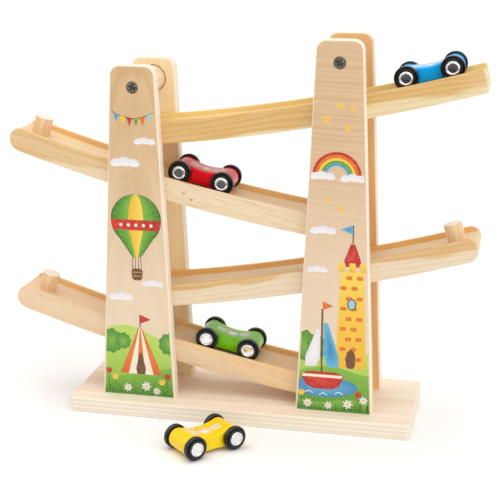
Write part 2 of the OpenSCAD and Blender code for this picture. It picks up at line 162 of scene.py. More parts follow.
def tone(red, green, blue):
    """Linear colour of an everyday one from 0 to 255: the screen's curve undone, which is straight near
    black and then a power of 2.4."""
    share = np.array([red, green, blue]) / 255
    return (*np.where(share <= 0.04045, share / 12.92, ((share + 0.055) / 1.055) ** 2.4).tolist(), 1.0)


def new_finish(name, **constants):
    """Finish with one Principled shader, whose named sockets take the constants."""
    finish = bpy.data.materials.new(name)
    finish.use_nodes = True
    shader = finish.node_tree.nodes["Principled BSDF"]
    for socket, value in constants.items():
        shader.inputs[socket.replace("_", " ")].default_value = value
    return finish


class Value:
    """Number or colour that a finish works out for each point. Each sum on it adds a node to the finish."""

    def __init__(self, finish, socket):
        """Keeps the finish and the socket that gives the value."""
        self.finish = finish
        self.socket = socket

    def sums(self, operation, *others):
        """Result of one named sum on this value and others."""
        return node(self.finish, "Math", dict(enumerate((self, *others))), operation=operation)

    def __add__(self, other):
        """This value + the other."""
        return self.sums("ADD", other)

    def __sub__(self, other):
        """This value - the other."""
        return self.sums("SUBTRACT", other)

    def __mul__(self, other):
        """This value x the other."""
        return self.sums("MULTIPLY", other)

    def axis(self, number):
        """X, Y or Z of a place, by number."""
        return node(self.finish, "SeparateXYZ", {0: self}, number)

    def spread(self, low, high, to_low=0.0, to_high=1.0):
        """This value between low and high, moved smoothly to between to_low and to_high."""
        feeds = {"Value": self, "From Min": low, "From Max": high, "To Min": to_low, "To Max": to_high}
        return node(self.finish, "MapRange", feeds, interpolation_type="SMOOTHSTEP")

    def shade(self, first, second):
        """Colour between two, worked-out or everyday ones: this value is the second one's share."""
        first, second = (end if isinstance(end, Value) else tone(*end) for end in (first, second))
        return node(self.finish, "Mix", {0: self, 6: first, 7: second}, 2, data_type="RGBA")

    def streaks(self, lengthwise, across, detail=3.0):
        """Noise drawn out along a grain: lengthwise counts its cells in 100 mm, across in 10 mm."""
        feeds = {0: self, 1: (lengthwise, across, across)}
        drawn = node(self.finish, "VectorMath", feeds, operation="MULTIPLY")
        return node(self.finish, "TexNoise", {"Vector": drawn, "Scale": 1.0, "Detail": detail})


def node(finish, kind, feeds, output=0, **settings):
    """Value of one shader node's output. feeds gives its inputs, each a constant or another value."""
    made = finish.node_tree.nodes.new("ShaderNode" + kind)
    for setting, value in settings.items():
        setattr(made, setting, value)
    for socket, value in feeds.items():
        if isinstance(value, Value):
            finish.node_tree.links.new(value.socket, made.inputs[socket])
        else:
            made.inputs[socket].default_value = value
    return Value(finish, made.outputs[output])


def mark_of(finish, name, output="Fac"):
    """Named mark that the points of a piece carry."""
    return node(finish, "Attribute", {}, output, attribute_name=name)


def place_on(finish):
    """Place on the object, in metres."""
    return node(finish, "TexCoord", {}, "Object")


def speckle(finish, scale, detail=2.0):
    """Even noise with scale cells to a metre."""
    return node(finish, "TexNoise", {"Vector": place_on(finish), "Scale": scale, "Detail": detail})


def grain_of(finish, middle, turn):
    """Place in a board whose grain runs along its own X: X in units of 100 mm, Y and Z of 10 mm."""
    feeds = {"Vector": place_on(finish), "Location": middle, "Rotation": turn, "Scale": (0.1, 0.01, 0.01)}
    return node(finish, "Mapping", feeds, vector_type="TEXTURE")


def finish_off(colour, haze, rough, height, strength, lift=0.0001):
    """Wires colour, roughness and relief to the shader of the colour's finish. The roughness runs between
    the two values of rough as the noise haze runs from 0.3 to 0.7."""
    finish = colour.finish
    shader = finish.node_tree.nodes["Principled BSDF"]
    relief = node(finish, "Bump", {"Height": height, "Strength": strength, "Distance": lift})
    sheen = haze.spread(0.3, 0.7, *rough)
    for socket, value in (("Base Color", colour), ("Roughness", sheen), ("Normal", relief)):
        finish.node_tree.links.new(value.socket, shader.inputs[socket])
    return finish


def plywood(name, middle, turn, thick, pale, deep, figure, bow=0.0, drift=0.0, lines=0.0, wander=1.0,
            foot=0.0):
    """Birch plywood, thick millimetres of plies stacked along the grain's Y. Its face shades from pale to
    deep with slow clouds, fine fibres and, as strongly as figure says, uneven lines: noise along bow x
    across squared + drift x along + lines x across + wander x clouds. Towards the ground it is painted paler
    by the share foot, as painted light from the floor below. On the cut edge the plies turn about, pale along
    the grain and browner across it, with a thin line of glue between them."""
    finish = new_finish(name, Specular_IOR_Level=0.3)
    grain = grain_of(finish, middle, turn)
    along, depth, across = (grain.axis(way) for way in range(3))
    sway = grain.streaks(0.9, 0.7, 2.0)
    ring = across * across * bow + along * drift + across * lines + sway * wander
    uneven = node(finish, "TexNoise", {"W": ring, "Scale": 1.0, "Detail": 3.0}, noise_dimensions="1D")
    fibre = grain.streaks(3.0, 16.0)
    fleck = grain.streaks(14.0, 24.0, 1.0).spread(0.64, 0.76)
    share = uneven.spread(0.35, 0.7) * figure + fibre * 0.4 + sway * 0.4
    face = share.spread(0.2, 0.95).shade(pale, deep)
    # Painted light: the face is painted paler towards the ground, by the share foot, for light from the floor
    # below.
    face = place_on(finish).axis(2).spread(0.06, 0.25, foot, 0.0).shade(face, (240, 220, 193))
    face = (fleck * 0.16).shade(face, (186, 142, 100))
    level = depth * (10 * PLIES / thick) + PLIES / 2
    brown = level.sums("FLOOR").sums("MODULO", 2.0)
    edge = (fibre * 0.3 + brown * 0.34).shade((254, 245, 229), (228, 204, 172))
    edge = level.sums("PINGPONG", 0.5).spread(0.0, 0.1, 0.3, 0.0).shade(edge, (176, 146, 114))
    colour = mark_of(finish, "cut").spread(0.3, 0.8).shade(face, edge)
    return finish_off(colour, fibre, (0.42, 0.58), fibre - fleck, 0.25)


low, high = box_of("base_board")
heights, insets, cut = rounded_edges(low[2], high[2], BASE_EDGE_R)
turn = np.linspace(0, np.pi / 2, CORNER_STEPS)
turn = np.concatenate([turn + quarter for quarter in np.arange(4) * np.pi / 2])
corner = (high[:2] - BASE_CORNER_R) * np.repeat([(1, 1), (-1, 1), (-1, -1), (1, -1)], CORNER_STEPS, 0)
outline = corner + (BASE_CORNER_R - insets)[:, None, None] * grid(np.cos(turn), np.sin(turn))
rings = grid(outline[..., 0], outline[..., 1], heights[:, None])
screw_holes = [turned(COUNTERSINK, (x, y, low[2]), (0, 0, 1), 32) for x in BASE_SCREW_X for y in BASE_SCREW_Y]
points, faces = board(rings, screw_holes)
base_birch = plywood("base_birch", (0, 0, BASE_T / 2 * MM), (np.pi / 2, 0, 0), BASE_T, (253, 239, 220),
                     (241, 217, 190), 0.3, lines=1.6, drift=0.4, wander=0.7)
marks = edge_mark(cut, rings, points)
base = piece("base_panel", points, faces, "stand", base_birch, marks)
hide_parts("base_board")


# Posts: four tapered boards of birch plywood with round top corners, in pairs that stand on the base as
# towers. Cut with a router, sanded round at the edges, drilled from outside for the screw of the round
# spacer, and bored from inside with a shallow socket, a little wider than the spacer that stands in it.
POST_FOOT_W = 59.5
POST_TOP_W = 34.0
POST_CORNER_R = 8.0
POST_EDGE_R = 1.8
SPACER_DROP = 16.5
SCREW_HOLE = [(4.9, 0.0), (4.62, 0.3), (4.62, 3.4)]
SOCKET = [(10.7, 0.0), (10.7, 2.3)]


def taper(low, high):
    """Slope of a post's sides: half of what its width loses, over its height."""
    return (POST_FOOT_W - POST_TOP_W) / 2 / (high[2] - low[2])


def post_rings(low, high):
    """Rings of a post through its thickness: its outline from the front, inset at the rounded edges, with
    tapered sides and an arc about a fixed middle whose radius is the corner's less the inset."""
    heights, insets, cut = rounded_edges(low[1], high[1], POST_EDGE_R)
    lean = taper(low, high)
    slant = np.hypot(1, lean)
    middle_z = high[2] - low[2] - POST_CORNER_R
    middle_x = POST_FOOT_W / 2 - lean * middle_z - POST_CORNER_R * slant
    turn = np.linspace(np.arctan(lean), np.pi / 2, 14)
    radius = (POST_CORNER_R - insets)[:, None]
    x = np.hstack([POST_FOOT_W / 2 - insets[:, None] * slant, middle_x + radius * np.cos(turn)])
    z = np.hstack([0 * radius, middle_z + radius * np.sin(turn)])
    x, z = np.hstack([x, -x[:, ::-1]]), np.hstack([z, z[:, ::-1]])
    return grid((low[0] + high[0]) / 2 + x, heights[:, None], low[2] + z), cut


upright, level_grain = (0, -np.pi / 2, 0), (0, 0, 0)
# The foot shares of the front posts paint them paler towards the ground, as painted light from the floor
# below.
post_looks = {
    "left_front": (upright, (226, 191, 147), (206, 165, 116), 0.36,
                   {"bow": 0.3, "drift": 2.4, "wander": 1.2, "foot": 0.85}),
    # The left rear post's tones are painted lighter than the other posts', as painted light where the front
    # post shades it.
    "left_rear": (upright, (255, 236, 196), (248, 216, 164), 0.3,
                  {"lines": 1.6, "drift": 0.5, "wander": 0.7}),
    "right_front": (level_grain, (227, 194, 155), (213, 176, 135), 0.34,
                    {"lines": 3.4, "drift": 1.5, "wander": 1.7, "foot": 0.8}),
    "right_rear": (upright, (244, 196, 134), (230, 174, 112), 0.3, {"bow": 0.3, "drift": 1.8, "wander": 0.7}),
}
for place, (turn, pale, deep, figure, flow) in post_looks.items():
    low, high = box_of(place + "_post")
    rings, cut = post_rings(low, high)
    outside = -1 if place.endswith("front") else 1
    outer, inner = (low[1], high[1]) if outside < 0 else (high[1], low[1])
    x, z = (low[0] + high[0]) / 2, high[2] - SPACER_DROP
    screw_hole = [turned(SCREW_HOLE, (x, outer, z), (0, -outside, 0), 48)]
    socket = [turned(SOCKET, (x, inner, z), (0, outside, 0))]
    points, faces = board(rings, *((screw_hole, socket) if outside < 0 else (socket, screw_hole)))
    middle = ((low + high) / 2 * MM).tolist()
    birch = plywood(place + "_birch", middle, turn, high[1] - low[1], pale, deep, figure, **flow)
    marks = edge_mark(cut, rings, points)
    post = piece(place + "_upright", points, faces, "stand", birch, marks)
    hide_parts(place + "_post")


# Round spacers: a short length of beech rod between the two posts of each tower, near the top.
# Sawn square to length and stood in the posts' sockets, so that a thin dark ring shows where it meets a post.
SOCKETED = 2.0
SPACER_EDGE = 0.7


def beech(name, middle, turn, pale, deep):
    """Steamed beech: pink-tan with soft bands and short dark flecks along the grain, and paler end grain
    with pores."""
    finish = new_finish(name, Specular_IOR_Level=0.35)
    grain = grain_of(finish, middle, turn)
    fibre = grain.streaks(5.0, 30.0)
    fleck = grain.streaks(30.0, 34.0, 1.0).spread(0.6, 0.7)
    share = grain.streaks(1.4, 2.2, 2.0) * 0.6 + fibre * 0.4
    side = share.spread(0.32, 0.68).shade(pale, deep)
    side = (fleck * 0.45).shade(side, (150, 96, 62))
    end = grain.streaks(200.0, 22.0, 2.0).spread(0.4, 0.75).shade((250, 242, 230), (222, 200, 174))
    return finish_off(mark_of(finish, "cut").shade(side, end), fibre, (0.4, 0.56), fibre - fleck, 0.25)


def rod(name, start, axis, length, radius, edge, wood):
    """Piece of rod along an axis. Its end edges are broken: over the last edge of its length the radius
    shrinks by the same. Its end faces carry the mark of cut wood."""
    nick = edge * 0.3
    profile = [(radius - edge, 0), (radius - nick, nick), (radius, edge), (radius, length - edge),
               (radius - nick, length - nick), (radius - edge, length)]
    rings = turned(profile, start, axis)
    points, faces = board(rings)
    marks = edge_mark(np.array([1.0, 0.0, 0.0, 0.0, 0.0, 1.0]), rings, points)
    return piece(name, points, faces, "stand", wood, marks)


for tower in ("left", "right"):
    low, high = box_of(tower + "_spacer")
    middle = (low + high) / 2
    wood = beech(tower + "_spacer_beech", (middle * MM).tolist(), (0, 0, np.pi / 2), (250, 228, 196),
                 (240, 206, 164))
    spacer = rod(tower + "_round_spacer", (middle[0], low[1] - SOCKETED, middle[2]), (0, 1, 0),
                 high[1] - low[1] + 2 * SOCKETED, (high[2] - low[2]) / 2, SPACER_EDGE, wood)
    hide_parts(tower + "_spacer")


# Spacer screws: dark cross-head steel screws, one from each side of a tower, just below the face of the post.
# The head is a low dome with a tapered cross recess pressed into it. The base screws are of the same steel;
# they are hidden below the base and stay as the CAD has them.
HEAD_SUNK = 0.35
HEAD_DOME = 0.012
CROSS_TURN = 0.5
CROSS_DEPTH = 2.2
ARM_HALF_W = 0.85
ARM_HALF_L = 2.7
RIM_AND_SHANK_R = [4.4, 4.5, 4.45, 2.1, 2.1]
RIM_AND_SHANK_SUNK = [0.1, 0.3, 0.5, 2.9, 12.0]


def cross_arm(off, far):
    """1 inside an arm of the cross, falling to 0 over its slanted side and end walls."""
    return np.clip((ARM_HALF_W - np.abs(off)) / 0.25, 0, 1) * np.clip((ARM_HALF_L - np.abs(far)) / 0.5, 0, 1)


def screw_rings(mouth, axis):
    """Rings of a screw from the middle of its head out and down to its shank. The head falls with the
    square of the radius, and by the recess where an arm of the cross covers the point."""
    turn = np.linspace(0, 2 * np.pi, 96, endpoint=False)
    head = np.r_[np.linspace(0.05, 2.9, 26), np.linspace(3.1, 4.2, 6)]
    radius = np.r_[head, RIM_AND_SHANK_R][:, None]
    sunk = np.r_[0 * head, RIM_AND_SHANK_SUNK][:, None]
    along, aside = radius * np.cos(turn + CROSS_TURN), radius * np.sin(turn + CROSS_TURN)
    recess = CROSS_DEPTH * np.maximum(cross_arm(along, aside), cross_arm(aside, along)) * (sunk == 0)
    depth = HEAD_SUNK + HEAD_DOME * radius ** 2 + sunk + recess
    flat = turned(np.hstack([radius, 0 * radius]), mouth, axis, 96)
    return flat - depth[..., None] * np.asarray(axis, float)


def joined(first, second):
    """Points and faces of two shells as one: the second's point numbers follow on from the first's."""
    faces = first[1] + [[number + len(first[0]) for number in face] for face in second[1]]
    return np.vstack([first[0], second[0]]), faces


def finish_cad(name, finish):
    """Gives a CAD node that stays in the scene its finish."""
    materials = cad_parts[name].data.materials
    materials.clear()
    materials.append(finish)


# Blackened steel: dark grey with small worn bright spots and a cloudy sheen.
dark_steel = new_finish("dark_screw_steel", Metallic=0.6)
haze = speckle(dark_steel, 700.0, 4.0)
black = haze.spread(0.3, 0.7).shade((82, 75, 69), (140, 133, 124))
worn = speckle(dark_steel, 1500.0).spread(0.52, 0.7) * 0.75
finish_off(worn.shade(black, (220, 214, 206)), haze, (0.32, 0.5), haze, 0.4)

for tower in ("left", "right"):
    low, high = box_of(tower + "_spacer_screws")
    middle = (low + high) / 2
    front = board(screw_rings((middle[0], low[1], middle[2]), (0, -1, 0)))
    back = board(screw_rings((middle[0], high[1], middle[2]), (0, 1, 0)))
    points, faces = joined(front, back)
    screws = piece(tower + "_cross_screws", points, faces, "stand", dark_steel, crease=30)
    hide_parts(tower + "_spacer_screws")
finish_cad("base_screws", dark_steel)


# Ramps: four bars of pine, sawn to a long curve and milled with a channel that leaves a low lip along each
# side. Each passes between the posts of both towers, on hidden beech dowels that are glued into the posts.
FLOOR_R = 1421.2
RAMP_W = 43.0
RAMP_T = 17.5
RAMP_REACH = 103.0
RAMP_EDGE_R = 0.9
LIP_H = 4.2
LIP_W = 3.2
LIP_R = FLOOR_R - LIP_H
LIP_EDGE_R = 0.7
FILLET_R = 0.5
LEFT_X = -81.0
RIGHT_X = 74.0
END_CORNER_R = 2.5
NOSE_R = 7.5, 9.5
END_LIGHT_L = 2.0
HAIR = 0.01


def pine(name, middle, turn, pith, pale, honey, split, lip_wall_light_shade, dashes, knots=()):
    """Pine sawn along the grain. Year rings are the distance from a pith outside the bar, each running from
    pale to honey and back at once. The bar is honey above the line split[0] + split[1] x along, which
    wavers, and pale below it. Its milled floor and its cut ends are painted paler, as painted light, and the
    inner wall of its rear lip is painted in a tone of its own, as painted light and shade. Fibres and short
    dashes run through it, and each knot is a small dark spot that pushes the rings aside."""
    finish = new_finish(name, Specular_IOR_Level=0.3)
    grain = grain_of(finish, middle, turn)
    along, aside, up = (grain.axis(way) for way in range(3))
    sway = grain.streaks(0.8, 0.5, 2.0)
    far_aside, far_up = aside + pith[0], up + pith[1]
    ring = (far_up * far_up + far_aside * far_aside).sums("SQRT") * 2.3 + sway * 2.2 + along * 0.25
    knot_marks = []
    for knot in knots:
        away = node(finish, "VectorMath", {0: place_on(finish), 1: knot}, operation="SUBTRACT")
        away = node(finish, "VectorMath", {0: away, 1: (0.6, 0.2, 1.0)}, operation="MULTIPLY")
        away = node(finish, "VectorMath", {0: away}, "Value", operation="LENGTH")
        ring = ring + away.spread(0.0, 0.004, 0.6, 0.0)
        knot_marks.append((away.spread(0.0003, 0.0011, 0.8, 0.0), (150, 92, 50)))
    late = ring.sums("FRACT").sums("POWER", 2.5)
    waver = grain.streaks(1.6, 0.6, 1.0) - 0.5
    above = up - (along * split[1] + split[0]) + waver * 1.6
    fibre = grain.streaks(4.0, 20.0)
    share = above.spread(-0.2, 0.2) * 0.5 + late * 0.3 + fibre * 0.5
    colour = share.spread(0.16, 1.04).shade(pale, honey)
    dash = grain.streaks(8.0, 11.0, 1.0).spread(0.62, 0.74) * dashes
    # Painted light and shade: the inner wall of the rear lip takes the lip tone, unevenly, for the light and
    # shade in the channel.
    rear = aside.spread(1.7, 1.84) * aside.spread(2.0, 2.14, 1.0, 0.0) * sway.spread(0.25, 0.7, 0.6, 0.95)
    for place, tint in ((dash, (190, 134, 76)), (rear, lip_wall_light_shade), *knot_marks,
                        # Painted light: the cut ends are painted paler, for the light on the ramps' end
                        # faces.
                        (mark_of(finish, "cut") * 0.4, (248, 232, 204)),
                        # Painted light: the channel floor is painted paler, for the light that falls on it
                        # from above.
                        (mark_of(finish, "painted_floor_light") * 0.6, pale)):
        colour = place.shade(colour, tint)
    return finish_off(colour, fibre, (0.42, 0.56), fibre - late * 0.5, 0.22)


def ramp_sections():
    """Across the ramp's width: place, depth of the top below the lips, and inset of the outline. Quarter
    circles round the outer edges and the lips' inner edges, and fill the corner between lip and floor."""
    turn = np.linspace(0, np.pi / 2, 6)
    sine, cosine = np.sin(turn), np.cos(turn)
    inner = RAMP_W / 2 - LIP_W
    across = np.r_[RAMP_W / 2 - RAMP_EDGE_R * (1 - cosine), inner + LIP_EDGE_R * (1 - sine),
                   inner - FILLET_R * (1 - cosine), np.linspace(inner - 2, 0, 5)]
    top = np.r_[0 * turn, LIP_EDGE_R * (1 - cosine), LIP_H - FILLET_R * (1 - sine), np.full(5, LIP_H)]
    inset = np.r_[RAMP_EDGE_R * (1 - sine), np.zeros(across.size - turn.size)]
    return [np.r_[near, far[-2::-1]] for near, far in ((-across, across), (top, top), (inset, inset))]


def ramp_outlines(length, upper_r, lower_r, top, inset):
    """Side views of the ramp for each section, as length along it and depth below its lips: a rectangle
    whose four corners are quarter circles, inset all round, and cut down to the section's own top."""
    turn = np.linspace(0, np.pi / 2, 9)
    sine, cosine = np.sin(turn), np.cos(turn)
    inset = inset[:, None]
    low_r, up_r, under_r = (np.maximum(r - inset, 0.05) for r in (END_CORNER_R, upper_r, lower_r))
    run = np.linspace(0, 1, 49)[1:-1]
    start, end, floor = inset, length - inset, RAMP_T - inset
    first, top_last, under_last = start + low_r, end - up_r, end - under_r
    along = np.hstack([start + low_r * (1 - cosine), first + (top_last - first) * run,
                       end - up_r * (1 - sine), end - under_r * (1 - cosine),
                       under_last + (first - under_last) * run, start + low_r * (1 - sine)])
    depth = np.hstack([inset + low_r * (1 - sine), inset + 0 * run, inset + up_r * (1 - cosine),
                       floor - under_r * (1 - sine), floor + 0 * run, floor - low_r * (1 - cosine)])
    return along, np.maximum(depth, top[:, None])


def on_curve(ramp, angle, radius, aside=0.0):
    """Point of a ramp's curve: the angle counts uphill from straight below the curve's middle."""
    hand, middle_x, middle_z = ramp[:3]
    x = middle_x + hand * radius * np.sin(angle)
    return grid(x, hand * aside, middle_z - radius * np.cos(angle))


def ramp_place(hand, floor_h, slope):
    """Hand, curve's middle, and angles of the low and high ends, from the floor's height and slope at the
    low end. The sine of the high end's angle puts the nose its reach beyond the far tower."""
    low, far = (LEFT_X, RIGHT_X) if hand > 0 else (RIGHT_X, LEFT_X)
    slope = np.radians(slope)
    middle_x, middle_z = low - hand * FLOOR_R * np.sin(slope), BASE_T + floor_h + FLOOR_R * np.cos(slope)
    nose = hand * (far + hand * RAMP_REACH - middle_x) / (LIP_R + NOSE_R[0])
    return hand, middle_x, middle_z, slope, np.arcsin(nose)


ramps = {"top": ramp_place(1, 211.8, 5.3), "second": ramp_place(-1, 145.5, 7.9),
         "third": ramp_place(1, 82.8, 6.6), "bottom": ramp_place(-1, 17.0, 8.1)}
noses = {"top": (END_CORNER_R, END_CORNER_R), "second": NOSE_R, "third": NOSE_R, "bottom": NOSE_R}
# The lip tones are painted light and shade on the inner walls of the rear lips.
pine_looks = {
    "top": {"pith": (1.2, 7.5), "pale": (240, 221, 178), "honey": (219, 172, 97),
            "split": (-1.57, 0.62), "lip_wall_light_shade": (255, 226, 150), "dashes": 0.2},
    "second": {"pith": (-1.6, 6.0), "pale": (239, 216, 181), "honey": (222, 180, 117),
               "split": (-0.3, 1.5), "lip_wall_light_shade": (246, 200, 132), "dashes": 0.4,
               "knots": [(-0.0454, -0.0215, 0.175), (-0.0394, -0.0215, 0.1705)]},
    "third": {"pith": (2.0, 8.0), "pale": (238, 220, 192), "honey": (220, 174, 110),
              "split": (-0.55, 0.0), "lip_wall_light_shade": (246, 190, 116), "dashes": 0.2},
    "bottom": {"pith": (-1.0, 5.0), "pale": (233, 203, 167), "honey": (243, 204, 152),
               "split": (-0.5, -1.5), "lip_wall_light_shade": (243, 198, 134), "dashes": 0.5},
}
across, top, inset = ramp_sections()
for name, ramp in ramps.items():
    length = FLOOR_R * (ramp[4] - ramp[3])
    along, depth = ramp_outlines(length, *noses[name], top, inset)
    rings = on_curve(ramp, ramp[3] + along / FLOOR_R, LIP_R + depth, across[:, None])
    points, faces = board(rings)
    ends = on_curve(ramp, np.array(ramp[3:5]), FLOOR_R)
    chord = (ends[1] - ends[0]) * ramp[0]
    turn = (0, -np.arctan2(chord[2], chord[0]), 0)
    wood = pine(name + "_ramp_pine", (ends.mean(0) * MM).tolist(), turn, **pine_looks[name])
    # Painted light: the cut mark fades over the last two millimetres at each end, and the pine paints it
    # paler for the light on the end faces.
    end_light_mark = np.clip(1 - np.minimum(along, length - along) / END_LIGHT_L, 0, 1).ravel()
    # Painted light: the channel floor is marked to be painted paler, for the light that falls on it from
    # above.
    floor_light_mark = ((top[:, None] > LIP_H - HAIR) & (depth < LIP_H + HAIR)).ravel()
    bar = piece(name + "_channel_bar", points, faces, "stand", wood,
                {"cut": end_light_mark, "painted_floor_light": floor_light_mark}, crease=50)
    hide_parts(name + "_ramp")


# Dowels and stop pegs: beech rod. The dowels are hidden in the ramps and posts and stay as the CAD has them;
# a peg stands in a blind hole near the high end of each lower ramp, where a falling car tips over.
PEG_D = 14.0
PEG_H = 14.2
PEG_DEPTH = 9.0
PEG_INSET = 16.4
PEG_EDGE = 0.6
for name, ramp in ramps.items():
    finish_cad(name + "_ramp_dowels", bpy.data.materials["left_spacer_beech"])
    if name == "top":
        continue
    angle = ramp[4] - PEG_INSET / FLOOR_R
    foot, tip = on_curve(ramp, np.array([angle, angle]), FLOOR_R + np.array([PEG_DEPTH, -PEG_H]))
    axis = tip - foot
    turn = (0, -np.arctan2(axis[2], axis[0]), 0)
    wood = beech(name + "_peg_beech", ((foot + tip) / 2 * MM).tolist(), turn, (249, 221, 181),
                 (233, 191, 142))
    peg = rod(name + "_stop_peg", foot, axis, PEG_DEPTH + PEG_H, PEG_D / 2, PEG_EDGE, wood)
    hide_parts(name + "_ramp_peg")


# Pictures on the front posts: opaque inks printed straight on the birch, one thin layer over the other.
# Left, a striped balloon above a tent in a meadow; right, a tower and a boat on a pond under a rainbow.
# Places and sizes in a picture are millimetres from the middle of the post's foot.
INK = 0.02
INK_FILM = 0.00004


def oval(x, z, half_w, half_h, lumps=0, lump=0.0, count=48):
    """Closed outline round a middle: an ellipse whose radius swells lumps times."""
    turn = np.linspace(0, 2 * np.pi, count, endpoint=False)
    swell = 1 + lump * np.cos(lumps * turn)
    return grid(x + half_w * swell * np.cos(turn), z + half_h * swell * np.sin(turn))


def soft(*corners):
    """Closed outline through corners that are cut back by a fifth of each side."""
    corners = np.array(corners, float)
    after = np.roll(corners, -1, 0)
    return np.stack([0.8 * corners + 0.2 * after, 0.2 * corners + 0.8 * after], 1).reshape(-1, 2)


def stroke(x0, z0, x1, z1, wide, tip=None):
    """Straight stroke with its own width at each end."""
    aside = np.array([z0 - z1, x1 - x0]) / np.hypot(x1 - x0, z1 - z0) / 2
    start, end = np.array([x0, z0]), np.array([x1, z1])
    tip = wide if tip is None else tip
    return np.array([start - wide * aside, end - tip * aside, end + tip * aside, start + wide * aside])


def fan(outline):
    """Rows that fill an outline: at a tenth, just over half and all of the way from its middle."""
    share = np.array([0.1, 0.55, 1.0])[:, None, None]
    middle = outline.mean(0)
    return middle + share * (outline - middle)


def puffs(across, *circles):
    """Height of the highest of several circles, each given by its middle and radius on the same line."""
    return np.max([np.sqrt(np.clip(r ** 2 - (across - at) ** 2, 0, None)) for at, r in circles], 0)


def cloud(x, z, wide):
    """Spot of a cloud: the highest of three circles above, the lowest of three smaller ones below."""
    across = np.linspace(-1, 1, 61)
    top = puffs(across, (-0.58, 0.42), (-0.04, 0.56), (0.57, 0.43))
    bottom = puffs(across, (-0.6, 0.4), (0.02, 0.3), (0.62, 0.38))
    return grid(x + wide / 2 * across, z + wide / 2 * np.linspace(-0.45 * bottom, 0.85 * top, 4))


def star(x, z, size):
    """Five-pointed star: a circle whose radius goes in and out in turn."""
    turn = np.pi / 2 + np.arange(10) * np.pi / 5
    radius = size * np.where(np.arange(10) % 2, 0.45, 1.0)
    return grid(x + radius * np.cos(turn), z + radius * np.sin(turn))


def ground(top):
    """Spot of ground right across the post, from its foot up to the line top."""
    return grid(wide * 40, 0.3 + up * (top - 0.3))


def bush_at(x, z, size):
    """Outline of a bush with nine lumps, a tenth higher than wide."""
    return oval(x, z, size, size * 1.1, 9, 0.07)


def ink(layer, colour, *shapes):
    """Adds shapes to the picture in hand, each a spot of the colour on an ink layer."""
    spots.extend((layer, colour, shape) for shape in shapes)


def daisy(layer, x, z, size):
    """A white ring of seven petals and its yellow eye."""
    ink(layer, white, oval(x, z, size, size, 7, 0.28))
    ink(layer + 1, sun, oval(x, z, size * 0.38, size * 0.38, count=16))


def tulip(layer, x, z, petal):
    """A stem, a leaf and a cup with three points."""
    ink(layer, leaf, stroke(x, 2, x, z + 1, 1.0, 0.7), soft((x + 0.7, 4), (x + 3.9, 10), (x + 1.3, 7)))
    ink(layer + 1, petal, soft((x - 2.6, z + 5), (x - 1.8, z), (x + 1.8, z), (x + 2.6, z + 5),
                               (x + 1, z + 3.4), (x, z + 5.4), (x - 1, z + 3.4)))


def blades(layer, tip_x, tip_z):
    """A row of grass blades, by turns on two layers, each a triangle from the foot up to its tip."""
    for x, *tip in zip(grass_row, tip_x, tip_z):
        ink(layer + int(x) % 2, leaf, [(x - 1.5, 0.4), (x + 1.5, 0.4), tip])


def give_film(made):
    """Gives a printed layer its thickness, half to each side."""
    film = made.modifiers.new("film", "SOLIDIFY")
    film.thickness = INK_FILM
    film.offset = 0.0


def picture(name, spots, place):
    """One piece from all spots of a picture, kept inside the post's tapered face. A spot is its ink layer,
    one colour or two that run through its rows, and a grid or an outline, which is filled in rows."""
    low, high = box_of(place)
    lean = taper(low, high)
    points, faces, inks, total = [], [], [], 0
    for layer, colour, spot in spots:
        closed = np.ndim(spot) == 2
        spot = fan(np.asarray(spot, float)) if closed else spot
        rows, count = spot.shape[:2]
        reach = POST_FOOT_W / 2 - POST_EDGE_R - lean * spot[..., 1]
        x = (low[0] + high[0]) / 2 + np.clip(spot[..., 0], -reach, reach)
        points.append(grid(x, low[1] - INK * layer, low[2] + spot[..., 1]).reshape(-1, 3))
        faces += wall(rows, count, total, closed)
        faces += lid(None, range(total, total + count)) if closed else []
        first, last = colour if np.ndim(colour) == 2 else (colour, colour)
        inks.append(np.repeat(np.linspace(tone(*first), tone(*last), rows), count, 0))
        total += rows * count
    marks = {"ink": np.concatenate(inks)}
    made = piece(name, np.concatenate(points), faces, "stand", ink_finish, marks)
    made.data.shade_flat()
    give_film(made)


ink_finish = new_finish("printed_ink", Specular_IOR_Level=0.4)
mottle, fine = speckle(ink_finish, 420.0, 4.0), speckle(ink_finish, 2400.0)
tint = mottle.spread(0.35, 0.75, 0.0, 0.1).shade(mark_of(ink_finish, "ink", "Color"), (240, 214, 176))
tint = fine.spread(0.6, 0.8, 0.0, 0.12).shade(tint, (250, 240, 225))
finish_off(tint, mottle, (0.36, 0.5), fine, 0.1, 0.00005)

grass, leaf = ((78, 146, 40), (128, 184, 62)), ((38, 104, 34), (86, 156, 46))
lime, bush = ((134, 188, 54), (190, 218, 98)), ((118, 178, 62), (70, 138, 44))
sun, orange = ((240, 186, 40), (252, 214, 84)), ((238, 128, 46), (220, 96, 30))
red, water = ((214, 52, 40), (188, 28, 28)), ((52, 136, 186), (98, 184, 222))
white, cream = ((246, 242, 242), (232, 228, 234)), (249, 236, 210)
sky, brown, straw = (150, 206, 226), (112, 70, 42), (186, 136, 84)
wide, up = np.linspace(-1, 1, 41), np.linspace(0, 1, 6)[:, None]
grass_row = np.arange(-27, 28, 2.6)

